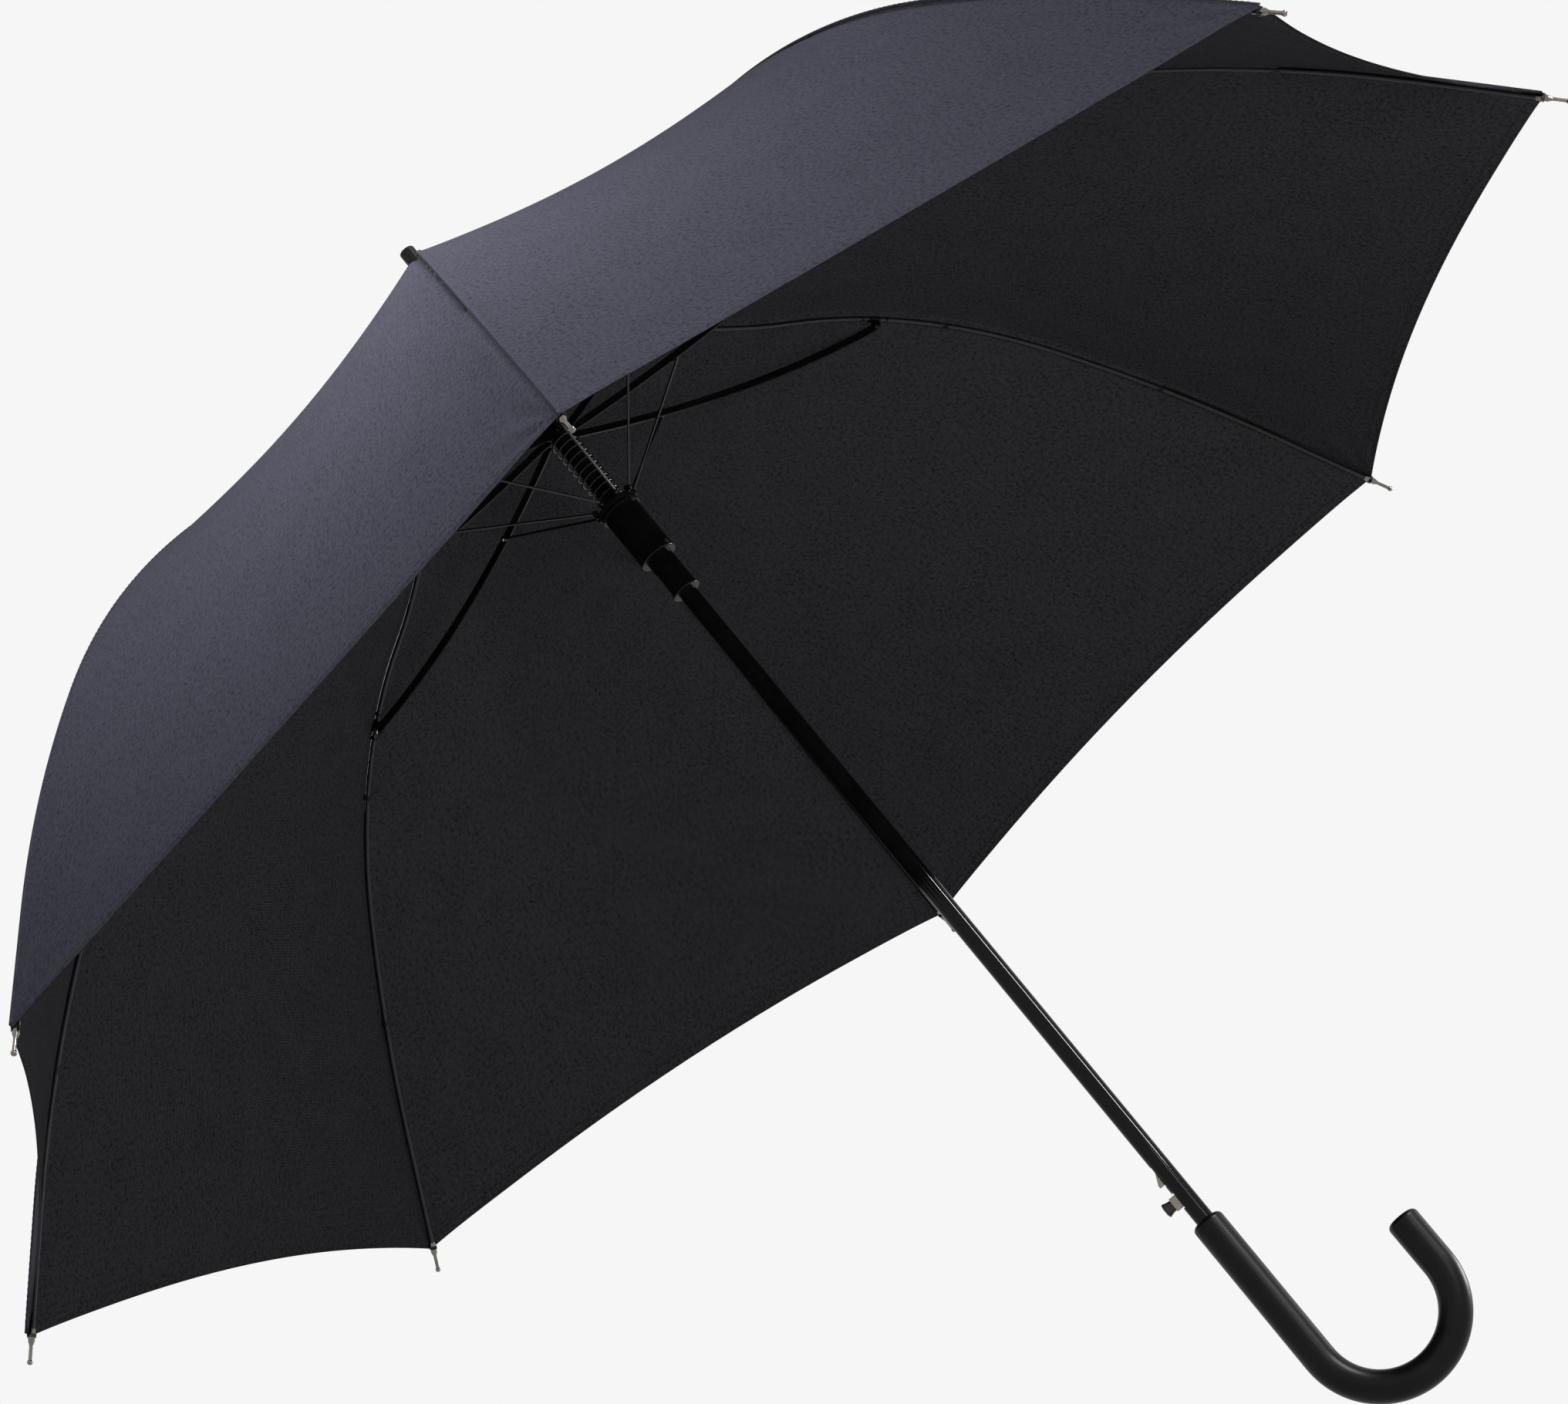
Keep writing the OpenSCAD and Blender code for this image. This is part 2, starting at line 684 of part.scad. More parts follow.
shaft_tube();
handle();
ferrule_cap();
crown();
stretcher_hub();
opening_spring();
runner_barrel();
runner_ring();
runner_sleeve();
hand_spring();
button_cap();
for (k = [0:rib_count - 1]) {
    rib(k);
    rib_tip(k);
    rib_joint(k);
    stretcher(k);
    link(k);
    gore(k);
}
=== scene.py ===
"""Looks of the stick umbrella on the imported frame, in metres: cloth, threads, spring, finishes and light."""
import json
import math
import random

import bpy
from mathutils import Matrix, Vector


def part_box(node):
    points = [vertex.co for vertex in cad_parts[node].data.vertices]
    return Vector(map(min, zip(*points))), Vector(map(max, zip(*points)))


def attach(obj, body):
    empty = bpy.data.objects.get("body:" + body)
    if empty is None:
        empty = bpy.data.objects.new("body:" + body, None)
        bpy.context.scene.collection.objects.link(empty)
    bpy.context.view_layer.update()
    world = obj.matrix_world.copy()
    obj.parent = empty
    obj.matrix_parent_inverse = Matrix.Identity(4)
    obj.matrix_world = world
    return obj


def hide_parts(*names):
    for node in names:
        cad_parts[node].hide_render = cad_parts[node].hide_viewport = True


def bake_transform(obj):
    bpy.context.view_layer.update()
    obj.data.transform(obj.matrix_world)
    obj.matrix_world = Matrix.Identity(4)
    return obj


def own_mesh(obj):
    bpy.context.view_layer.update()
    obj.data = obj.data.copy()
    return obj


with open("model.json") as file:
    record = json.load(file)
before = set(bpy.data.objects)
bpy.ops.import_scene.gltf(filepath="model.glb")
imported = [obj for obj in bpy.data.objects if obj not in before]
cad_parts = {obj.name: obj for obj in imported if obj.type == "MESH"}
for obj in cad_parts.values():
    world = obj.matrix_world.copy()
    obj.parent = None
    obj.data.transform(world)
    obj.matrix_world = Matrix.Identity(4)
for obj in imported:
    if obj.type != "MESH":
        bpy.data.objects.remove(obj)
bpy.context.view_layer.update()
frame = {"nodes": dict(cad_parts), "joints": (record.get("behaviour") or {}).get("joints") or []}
nodes = frame["nodes"]
joint_at = {j["name"]: j for j in frame["joints"]}
draws = random.Random(8)

# Frame of the ribs
RIB_COUNT = 8
RIB_STEP = math.tau / RIB_COUNT
HALF_STEP = RIB_STEP / 2
FIRST_RIB = math.radians(-45)
RIB_R = 0.00145

# Line of a rib in its own upright plane: slopes in degrees below level, bend radii, straight end
SLOPE_CROWN = math.radians(42.8)
SLOPE_FLAT = math.radians(8.7)
SLOPE_SHOULDER = math.radians(39.7)
SLOPE_TIP = math.radians(50.2)
BEND_CROWN_R = 0.365
BEND_SHOULDER_R = 0.335
BEND_OUTER_R = 0.797
RIB_END = 0.070
JOINT_ARC = 0.277
JOINT_DROP = 0.0042


def heading(slope):
    """Direction along a rib that falls by slope, as distance from the axis and height."""
    return Vector((math.cos(slope), -math.sin(slope)))


def outward(slope):
    """Direction square to a rib, away from the shaft."""
    return Vector((math.sin(slope), math.cos(slope)))


pivot = Vector(joint_at["rib_hinge_0"]["pos_m"])
P_CROWN = Vector((math.hypot(pivot.x, pivot.y), pivot.z))
C_CROWN = P_CROWN + BEND_CROWN_R * outward(SLOPE_CROWN)
P_FLAT = C_CROWN - BEND_CROWN_R * outward(SLOPE_FLAT)
C_SHOULDER = P_FLAT - BEND_SHOULDER_R * outward(SLOPE_FLAT)
P_SHOULDER = C_SHOULDER + BEND_SHOULDER_R * outward(SLOPE_SHOULDER)
C_OUTER = P_SHOULDER - BEND_OUTER_R * outward(SLOPE_SHOULDER)
P_OUTER = C_OUTER + BEND_OUTER_R * outward(SLOPE_TIP)
P_END = P_OUTER + RIB_END * heading(SLOPE_TIP)
S_FLAT = BEND_CROWN_R * (SLOPE_CROWN - SLOPE_FLAT)
S_SHOULDER = S_FLAT + BEND_SHOULDER_R * (SLOPE_SHOULDER - SLOPE_FLAT)
S_OUTER = S_SHOULDER + BEND_OUTER_R * (SLOPE_TIP - SLOPE_SHOULDER)
S_END = S_OUTER + RIB_END


def rib_slope(s):
    """Slope of a rib at the distance s along it."""
    if s < 0:
        return SLOPE_CROWN
    if s < S_FLAT:
        return SLOPE_CROWN - s / BEND_CROWN_R
    if s < S_SHOULDER:
        return SLOPE_FLAT + (s - S_FLAT) / BEND_SHOULDER_R
    if s < S_OUTER:
        return SLOPE_SHOULDER + (s - S_SHOULDER) / BEND_OUTER_R
    return SLOPE_TIP


def rib_point(s):
    """Point of a rib's middle line at the distance s along it."""
    a = rib_slope(s)
    if s < 0:
        return P_CROWN + s * heading(a)
    if s < S_FLAT:
        return C_CROWN - BEND_CROWN_R * outward(a)
    if s < S_SHOULDER:
        return C_SHOULDER + BEND_SHOULDER_R * outward(a)
    if s < S_OUTER:
        return C_OUTER + BEND_OUTER_R * outward(a)
    return P_OUTER + (s - S_OUTER) * heading(a)


def rib_turn(k):
    """Azimuth of rib k."""
    return FIRST_RIB + k * RIB_STEP


def turned(point, azimuth):
    """A point drawn in the plane of azimuth 0, turned about the shaft."""
    return Matrix.Rotation(azimuth, 3, "Z") @ Vector(point)


# Meshes
def make_piece(name, verts, faces, body, mats, indices=None, smooth=True):
    """A mesh piece that takes its finish from a slot, and rides on a body unless that is None."""
    mesh = bpy.data.meshes.new(name)
    mesh.from_pydata([tuple(v) for v in verts], [], faces)
    for mat in mats:
        mesh.materials.append(mat)
    if indices:
        mesh.polygons.foreach_set("material_index", indices)
    mesh.polygons.foreach_set("use_smooth", [smooth] * len(faces))
    mesh.update()
    piece = bpy.data.objects.new(name, mesh)
    bpy.context.scene.collection.objects.link(piece)
    if body:
        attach(piece, body)
    return piece


def join(parts):
    """Several (verts, faces) as one."""
    verts = []
    faces = []
    for part_verts, part_faces in parts:
        base = len(verts)
        verts.extend(part_verts)
        faces.extend([tuple(base + i for i in face) for face in part_faces])
    return verts, faces


def tube(points, radius, sides=8, ends=1.0):
    """A closed tube along points. Its end rings are ends times its radius."""
    points = [Vector(p) for p in points]
    verts = []
    faces = []
    across = None
    last = len(points) - 1
    for i, p in enumerate(points):
        along = (points[min(i + 1, last)] - points[max(i - 1, 0)]).normalized()
        if across is None:
            across = along.orthogonal().normalized()
        across = (across - along * across.dot(along)).normalized()
        other = along.cross(across)
        r = radius * (ends if i in (0, last) else 1.0)
        for j in range(sides):
            a = math.tau * j / sides
            verts.append(p + r * (math.cos(a) * across + math.sin(a) * other))
    for i in range(last):
        for j in range(sides):
            a = i * sides + j
            b = i * sides + (j + 1) % sides
            faces.append((a, b, b + sides, a + sides))
    faces.append(tuple(range(sides - 1, -1, -1)))
    faces.append(tuple(last * sides + j for j in range(sides)))
    return verts, faces


def lathe(profile, place, sides=40):
    """A closed solid turned from (radius, height) points, whose last point joins the first."""
    verts = []
    faces = []
    count = len(profile)
    for j in range(sides):
        a = math.tau * j / sides
        for r, h in profile:
            verts.append(place @ Vector((r * math.cos(a), r * math.sin(a), h)))
    for j in range(sides):
        n = (j + 1) % sides
        for i in range(count):
            m = (i + 1) % count
            faces.append((j * count + i, n * count + i, n * count + m, j * count + m))
    return verts, faces


# Materials
def new_material(name):
    """A material, its shader, and functions that add a linked node and feed the shader."""
    mat = bpy.data.materials.new(name)
    mat.use_nodes = True
    tree = mat.node_tree
    shader = tree.nodes["Principled BSDF"]

    def add(kind, links=None, **values):
        node = tree.nodes.new(kind)
        for key, value in values.items():
            if hasattr(node, key):
                setattr(node, key, value)
            else:
                node.inputs[key.replace("_", " ")].default_value = value
        for key, source in (links or {}).items():
            tree.links.new(source, node.inputs[key])
        return node

    def feed(source, socket):
        tree.links.new(source, shader.inputs[socket])

    return mat, shader, add, feed


def set_shader(shader, **values):
    """Sets constant values on the shader's own sockets."""
    for key, value in values.items():
        shader.inputs[key.replace("_", " ")].default_value = value


def two_tones(add, source, dark, light, dark_at, light_at):
    """A ramp from a dark tone to a light one, and its colour output."""
    ramp = add("ShaderNodeValToRGB", {0: source})
    for stop, tone, at in zip(ramp.color_ramp.elements, (dark, light), (dark_at, light_at)):
        stop.position = at
        stop.color = (*tone, 1)
    return ramp.outputs[0]


def tinted(add, base, share, tint):
    """A colour multiplied by a tint, by a share from 0 to 1."""
    mix = add("ShaderNodeMix", {0: share}, data_type="RGBA", blend_type="MULTIPLY")
    colours = {s.name: s for s in mix.inputs if s.type == "RGBA"}
    colours["B"].default_value = (*tint, 1)
    mix.id_data.links.new(base, colours["A"])
    return next(s for s in mix.outputs if s.type == "RGBA")


def grained(name, dark, light, rough, grain, bump, stretch=(1, 1, 1), **values):
    """A finish with a fine grain in its colour, its roughness and its surface. grain is grains per metre."""
    mat, shader, add, feed = new_material(name)
    set_shader(shader, **values)
    place = add("ShaderNodeTexCoord")
    mapping = add("ShaderNodeMapping", {"Vector": place.outputs["Object"]}, Scale=stretch)
    fine = add("ShaderNodeTexNoise", {"Vector": mapping.outputs[0]}, Scale=grain, Detail=4.0, Roughness=0.6)
    broad = add("ShaderNodeTexNoise", {"Vector": place.outputs["Object"]}, Scale=grain / 30, Detail=2.0)
    both = add("ShaderNodeMath", {0: fine.outputs[0], 1: broad.outputs[0]}, operation="MULTIPLY")
    spread = add("ShaderNodeMapRange", {0: both.outputs[0]})
    spread.inputs["From Min"].default_value = 0.1
    spread.inputs["From Max"].default_value = 0.45
    spread.inputs["To Min"].default_value = rough[0]
    spread.inputs["To Max"].default_value = rough[1]
    relief = add("ShaderNodeBump", {"Height": fine.outputs[0]}, Strength=1.0, Distance=bump)
    feed(two_tones(add, both.outputs[0], dark, light, 0.12, 0.42), "Base Color")
    feed(spread.outputs[0], "Roughness")
    feed(relief.outputs[0], "Normal")
    return mat


WEAVE_PITCH = 0.0009
WAVE_PERIOD = math.tau / 20
# Tint that multiplies the cloth's colour where painted shade lies beside a seam
PAINTED_SHADE_TINT = (0.2, 0.2, 0.22)


def cloth(name, dark, light, warm, sheen):
    """Plain woven cloth: two sets of threads, a speckle of cool and warm dye, a soft sheen, and painted shade
    beside the seams.
    """
    mat, shader, add, feed = new_material(name)
    set_shader(shader, Roughness=0.9, Specular_IOR_Level=0.0, Sheen_Weight=sheen, Sheen_Roughness=0.4)
    shader.inputs["Sheen Tint"].default_value = (0.86, 0.88, 1.0, 1.0)
    uv = add("ShaderNodeUVMap", uv_map="cloth")
    scale = WAVE_PERIOD / WEAVE_PITCH
    warp = add("ShaderNodeTexWave", {"Vector": uv.outputs[0]}, bands_direction="X", Scale=scale)
    weft = add("ShaderNodeTexWave", {"Vector": uv.outputs[0]}, bands_direction="Y", Scale=scale)
    for wave in (warp, weft):
        wave.inputs["Distortion"].default_value = 0.6
        wave.inputs["Detail Scale"].default_value = 0.4
    threads = add("ShaderNodeMath", {0: warp.outputs["Fac"], 1: weft.outputs["Fac"]}, operation="MAXIMUM")
    speckle = add("ShaderNodeTexNoise", {"Vector": uv.outputs[0]}, Scale=420.0, Detail=4.0, Roughness=0.85)
    drift = add("ShaderNodeTexNoise", {"Vector": uv.outputs[0]}, Scale=40.0, Detail=3.0)
    hue = add("ShaderNodeTexNoise", {"Vector": uv.outputs[0]}, Scale=260.0, Detail=5.0, Roughness=0.8)
    mottle = add("ShaderNodeMath", {0: drift.outputs[0], 2: speckle.outputs[0]}, operation="MULTIPLY_ADD")
    mottle.inputs[1].default_value = 0.1
    mix = add("ShaderNodeMath", {0: mottle.outputs[0], 1: threads.outputs[0]}, operation="MULTIPLY")
    dyed = two_tones(add, mix.outputs[0], dark, light, 0.37, 0.53)
    warmth = add("ShaderNodeMapRange", {0: hue.outputs[0]})
    warmth.inputs["From Min"].default_value = 0.42
    warmth.inputs["From Max"].default_value = 0.62
    # Painted shade beside the seams, read from the mesh, darkens the base colour
    painted_seam_shade = add("ShaderNodeAttribute", attribute_name="painted_seam_shade")
    toned = tinted(add, dyed, warmth.outputs[0], warm)
    weave = add("ShaderNodeBump", {"Height": threads.outputs[0]}, Strength=0.35, Distance=0.0002)
    relief = add("ShaderNodeBump", {"Height": speckle.outputs[0], "Normal": weave.outputs[0]})
    relief.inputs["Strength"].default_value = 0.25
    relief.inputs["Distance"].default_value = 0.0004
    feed(tinted(add, toned, painted_seam_shade.outputs["Fac"], PAINTED_SHADE_TINT), "Base Color")
    feed(relief.outputs[0], "Normal")
    return mat


cloth_out = cloth("cloth_outside", (0.037, 0.039, 0.055), (0.114, 0.118, 0.162), (1.0, 0.92, 0.84), 0.06)
# The inside is the same cloth made darker: painted shade of the canopy's underside
shaded_cloth_inside = cloth("cloth_inside_painted_shade", (0.017, 0.0170, 0.0195), (0.085, 0.084, 0.094), (1.0, 0.94, 0.90), 0.02)
seam_cloth = cloth("cloth_seam", (0.042, 0.043, 0.062), (0.104, 0.105, 0.150), (1.0, 0.92, 0.84), 0.1)
# Black thread, also used as a painted shadow line on the left faces of the seams
black_thread_and_seam_shadow = grained("black_thread_and_seam_shadow", (0.006, 0.006, 0.007), (0.03, 0.03, 0.033), (0.55, 0.8), 2500, 0.0001,
                       Specular_IOR_Level=0.2)
thread_grey = grained("thread_grey", (0.040, 0.042, 0.055), (0.100, 0.103, 0.130), (0.55, 0.8), 2500, 0.0001,
                      Specular_IOR_Level=0.2)
gloss_paint = grained("shaft_gloss_black", (0.0035, 0.0035, 0.004), (0.008, 0.008, 0.009), (0.05, 0.06), 1800,
                      0.0000001, (1, 1, 0.02), Specular_IOR_Level=0.13)
satin_black = grained("handle_satin_black", (0.0045, 0.0045, 0.005), (0.010, 0.010, 0.011), (0.34, 0.36), 2600,
                      0.0000003, Specular_IOR_Level=0.12)
frame_plastic = grained("frame_black_plastic", (0.003, 0.003, 0.0033), (0.007, 0.007, 0.0075), (0.22, 0.34),
                        1500, 0.000003, Specular_IOR_Level=0.09)
painted_bar = grained("stretcher_black_paint", (0.0035, 0.0035, 0.0038), (0.008, 0.008, 0.009), (0.2, 0.32),
                      1800, 0.000003, Specular_IOR_Level=0.09)
wire_black = grained("wire_black", (0.005, 0.005, 0.005), (0.012, 0.012, 0.013), (0.12, 0.20), 2200,
                     0.000002, Specular_IOR_Level=0.32)
rim_gloss = grained("runner_rim_gloss", (0.003, 0.003, 0.0033), (0.007, 0.007, 0.0075), (0.10, 0.18), 1500,
                    0.000002, Specular_IOR_Level=0.16)
rib_black = grained("rib_glass_fibre", (0.006, 0.006, 0.0065), (0.018, 0.018, 0.02), (0.16, 0.28), 1500,
                    0.000004, Specular_IOR_Level=0.25)
ferrule_black = grained("ferrule_black", (0.008, 0.008, 0.0085), (0.017, 0.017, 0.018), (0.34, 0.46), 1500,
                        0.00002, Specular_IOR_Level=0.1)
nickel = grained("nickel", (0.11, 0.10, 0.092), (0.25, 0.23, 0.21), (0.10, 0.20), 1400, 0.000005, Metallic=1.0)
catch_metal = grained("catch_beige_metal", (0.36, 0.31, 0.265), (0.50, 0.44, 0.38), (0.42, 0.55), 900,
                      0.00001, Specular_IOR_Level=0.3)
button_dark = grained("button_dark", (0.007, 0.0055, 0.005), (0.019, 0.015, 0.014), (0.24, 0.34), 1200,
                      0.00001, Specular_IOR_Level=0.3)
rivet_steel = grained("rivet_steel", (0.30, 0.30, 0.30), (0.52, 0.52, 0.52), (0.18, 0.3), 1400,
                      0.000006, Metallic=1.0)

NODE_FINISH = {
    "shaft_tube": gloss_paint, "handle": satin_black, "ferrule_cap": ferrule_black, "crown": frame_plastic,
    "stretcher_hub": frame_plastic, "runner_barrel": frame_plastic, "runner_ring": frame_plastic,
    "runner_sleeve": frame_plastic, "hand_spring": catch_metal, "rib": rib_black, "rib_tip": nickel,
    "rib_joint": frame_plastic, "stretcher": painted_bar, "link": wire_black,
}
for node_name, node in nodes.items():
    stem = node_name.rstrip("0123456789").rstrip("_")
    for node_slot in node.material_slots:
        if stem in NODE_FINISH:
            node_slot.material = NODE_FINISH[stem]


# Canopy cloth
CLOTH_T = 0.0005
CLOTH_LIFT = RIB_R + 0.00135
NECK = Vector((0.0063, 0.681))
NECK_S = 0.014
TOP_S = 0.02
PANEL_SAG = 0.08
HEM_SAG = 0.022
HEM_SCALLOP = 0.014
CLOTH_END = S_END - 0.0015
SEAM_GAP = 0.00006
HEM_WIDTH = 0.007
HEM_T = 0.0006
GROOVE_OFF = 0.0024
GROOVE_DEPTH = 0.0022
EDGE_DROP = 0.0005
EDGE_RISE = 0.0003
EDGE_ROUND = 0.003
EDGE_TUCK = 0.0008
CREASE_DEPTH = 0.0007
CORNER_PULL = 0.0005
TIE_AT = (0.326, 0.470)
GROOVE_WIDE = 0.0022
GROOVE_NARROWS = 0.0009
GROOVE_SHALLOWS = 0.45
# Width, narrowing, depth and fading of the painted shade beside a seam
SHADE_WIDE = 0.0030
SHADE_NARROWS = 0.0012
SHADE_TONE = 0.85
SHADE_FADES = 0.3
ROWS = 72
COLS = 20
NECK_ROWS = 6
NECK_U = 0.04
BODY_U = 0.955
TIE_ROW = 0.0014
NORMAL_STEP = 0.0006
HEM_STEPS = (0.0004, 0.001, 0.0018, 0.003, 0.0045, 0.0058, 0.0066, 0.0074, 0.009)


def ease(x):
    """A smooth step from 0 to 1."""
    x = max(0.0, min(1.0, x))
    return x * x * (3 - 2 * x)


def cloth_line(s):
    """Point of the cloth's inner face over a rib, and the direction square to it."""
    if s >= NECK_S:
        out = outward(rib_slope(s))
        return rib_point(s) + CLOTH_LIFT * out, out
    fall = cloth_line(NECK_S)[0] - NECK
    return NECK + fall * (s / NECK_S), Vector((-fall.y, fall.x)).normalized()


HALF_WIDTH = cloth_line(CLOTH_END)[0].x * math.sin(HALF_STEP)


def panel_point(u, v, lift):
    """Point of a panel about its middle plane: u runs from neck to hem, v from -1 to 1 across."""
    b = 1 - v * v
    s = CLOTH_END * (1 - HEM_SCALLOP * b) * u
    p, out = cloth_line(s)
    p = p + lift * out
    shrink = 1 - (PANEL_SAG + (HEM_SAG - PANEL_SAG) * ease((u - 0.3) / 0.7)) * b
    x = p.x * math.cos(HALF_STEP) * shrink
    y = (p.x * math.sin(HALF_STEP) - SEAM_GAP) * shrink * v
    return Vector((x, y, p.y))


def bell(x):
    """A smooth bump of height 1."""
    return math.exp(-x * x)


def beside_seam(u, v):
    """Distance along the rib, distance from the nearer seam, and a step from 0 to 1 past the outer tie."""
    s = CLOTH_END * u
    from_seam = cloth_line(s)[0].x * math.sin(HALF_STEP) * (1 - abs(v))
    return s, from_seam, ease((s - TIE_AT[1] + 0.006) / 0.012)


def relief(u, v):
    """How far the cloth stands off its smooth shape: groove beside a seam, pull at ties and corners."""
    s, from_seam, past_tie = beside_seam(u, v)
    from_hem = CLOTH_END - s
    taut = ease(s / 0.05) * ease(from_hem / 0.1)
    if v > 0:
        wide = GROOVE_WIDE - GROOVE_NARROWS * past_tie
        deep = GROOVE_DEPTH * (1 - GROOVE_SHALLOWS * past_tie)
        height = -deep * bell((from_seam - GROOVE_OFF) / wide) - EDGE_DROP * (1 - ease(from_seam / 0.003))
        for tie in TIE_AT:
            along = (s - tie) / 0.0016
            height -= CREASE_DEPTH * bell(along + 2.0 * from_seam / 0.01) * (1 - ease(from_seam / 0.011))
    else:
        height = EDGE_RISE * (1 - ease(from_seam / 0.004))
    reach = math.hypot(from_seam, from_hem)
    bearing = math.atan2(from_seam, from_hem + 1e-6)
    pull = CORNER_PULL * math.sin(9 * bearing) * ease(reach / 0.02) * (1 - ease((reach - 0.02) / 0.05))
    return height * taut + pull


def seam_shade_share(u, v):
    """How much painted shade darkens the cloth beside a seam, from 0 to 1."""
    if v < 0:
        return 0.0
    s, from_seam, past_tie = beside_seam(u, v)
    wide = SHADE_WIDE - SHADE_NARROWS * past_tie
    return (SHADE_TONE - SHADE_FADES * past_tie) * bell(from_seam / wide) * ease(s / 0.02)


def hem_extra(u):
    """Extra thickness of the folded hem."""
    return HEM_T * ease((HEM_WIDTH - CLOTH_END * (1 - u)) / 0.0012)


def spaced(count, power):
    """Steps from 0 to 1 that crowd towards 1."""
    return [1 - (1 - i / count) ** power for i in range(count + 1)]


def stitch(at, along, up, length, radius):
    """One thread stitch: a small pill."""
    side = along.cross(up).normalized()
    rings = [(-0.5, 0.35), (-0.3, 1.0), (0.3, 1.0), (0.5, 0.35)]
    verts = []
    faces = []
    for share, fat in rings:
        for j in range(4):
            a = math.tau * j / 4
            verts.append(at + along * (length * share) + fat * radius * (math.cos(a) * side + math.sin(a) * up))
    for i in range(3):
        for j in range(4):
            a = i * 4 + j
            b = i * 4 + (j + 1) % 4
            faces.append((a, b, b + 4, a + 4))
    faces.append((3, 2, 1, 0))
    faces.append((12, 13, 14, 15))
    return verts, faces


STITCH_PITCH = 0.0034
STITCH_LENGTH = 0.0021
STITCH_R = 0.00022
SEAM_STITCH_OFF = 0.0042
SEAM_TOP_STITCH = 0.0011


def half_panel(k, hand, top):
    """Half of panel k, or the top of that half: hand -1 is the half on rib k, 1 that on the next rib."""
    us = [NECK_U * i / NECK_ROWS for i in range(NECK_ROWS)]
    us += [NECK_U + BODY_U * t for t in spaced(ROWS, 1.2)] + [1.0]
    us += [1 - step / CLOTH_END for step in HEM_STEPS]
    us += [(tie + TIE_ROW * i) / CLOTH_END for tie in TIE_AT for i in range(-3, 4)]
    split = TOP_S / CLOTH_END
    us = sorted({u for u in us if (u < split if top else u > split)} | {split})
    vs = [hand * t for t in spaced(COLS, 2.0)]
    width = len(vs)
    turn = rib_turn(k) + HALF_STEP

    def surface(u, v, outside):
        tuck = EDGE_TUCK * (1 - ease(CLOTH_END * (1 - u) / EDGE_ROUND))
        return panel_point(u, v, relief(u, v) + (CLOTH_T - tuck if outside else -hem_extra(u)))

    def normal_at(u, v):
        e = NORMAL_STEP
        du = surface(min(u + e, 1), v, True) - surface(max(u - e, 0), v, True)
        dv = surface(u, min(v + e, 1), True) - surface(u, max(v - e, -1), True)
        return du.cross(dv).normalized() * -1

    verts = []
    normals = []
    plane = []
    for outside in (True, False):
        for u in us:
            for v in vs:
                at = surface(u, v, outside)
                n = normal_at(u, v)
                n = n if n.dot(Vector((at.x, at.y, abs(at.x) + 0.01))) > 0 else -n
                verts.append(turned(at, turn))
                normals.append(turned(n if outside else -n, turn))
                plane.append((CLOTH_END * u, at.y))
    layer = len(us) * width
    faces = []
    indices = []

    def face(ring, index):
        faces.append(tuple(ring) if hand > 0 else tuple(reversed(ring)))
        indices.append(index)

    for i in range(len(us) - 1):
        for j in range(width - 1):
            a = i * width + j
            face((a, a + width, a + width + 1, a + 1), 0)
            b = layer + a
            face((b, b + 1, b + width + 1, b + width), 1)
    edge = [i * width for i in range(len(us))]
    edge += [(len(us) - 1) * width + j for j in range(1, width)]
    edge += [i * width + width - 1 for i in range(len(us) - 2, -1, -1)]
    edge += list(range(width - 2, 0, -1))
    for a, b in zip(edge, edge[1:] + edge[:1]):
        face((b, a, layer + a, layer + b), 0)
    threads = []
    outer = []
    s = TOP_S
    while s < CLOTH_END - 0.01 and not top:
        u = s / CLOTH_END
        half = cloth_line(s)[0].x * math.sin(HALF_STEP)
        v = hand * (1 - SEAM_STITCH_OFF / half)
        if abs(v) > 0.2:
            at = surface(u, v, False)
            along = (surface(u + 0.002, v, False) - at).normalized()
            threads.append(stitch(at, along, normal_at(u, v), STITCH_LENGTH, STITCH_R))
        s += STITCH_PITCH
    count = 0 if top else int(HALF_WIDTH / STITCH_PITCH)
    for i in range(count):
        v = hand * (i + 0.5) / count
        u = 1 - (HEM_WIDTH - 0.001) / CLOTH_END
        for outside in (True, False):
            at = surface(u, v, outside)
            along = (surface(u, v + 0.002, outside) - at).normalized()
            row = outer if outside else threads
            thick = STITCH_R * (0.6 if outside else 1.0)
            row.append(stitch(at, along, normal_at(u, v), STITCH_LENGTH, thick))
    base = len(verts)
    for index, row in ((2, threads), (3, outer)):
        first = len(verts)
        row_verts, row_faces = join(row)
        verts.extend(turned(v, turn) for v in row_verts)
        faces.extend(tuple(first + i for i in f) for f in row_faces)
        indices.extend([index] * len(row_faces))
    rib = (k + (1 if hand > 0 else 0)) % RIB_COUNT
    side = "right" if hand < 0 else "left"
    part = "top" if top else "half"
    body = None if top else f"rib_arm_{rib}"
    piece = make_piece(f"canopy_{part}_{side}_{rib}", verts, faces, body,
                       [cloth_out, shaded_cloth_inside, black_thread_and_seam_shadow, thread_grey], indices)
    mesh = piece.data
    smooth = normals + [v.normal.copy() for v in mesh.vertices[base:]]
    mesh.normals_split_custom_set_from_vertices(smooth)
    layer_uv = mesh.uv_layers.new(name="cloth")
    for loop in mesh.loops:
        i = loop.vertex_index
        layer_uv.data[loop.index].uv = plane[i] if i < len(plane) else (0.0, 0.0)
    # Painted shade beside the seams, stored on each point of the sheet
    shade_layer = mesh.attributes.new("painted_seam_shade", "FLOAT", "POINT")
    for i, (u, v) in enumerate((u, v) for u in us for v in vs):
        shade_layer.data[i].value = seam_shade_share(u, v)
    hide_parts(f"gore_{k}")
    return piece, rib, -hand


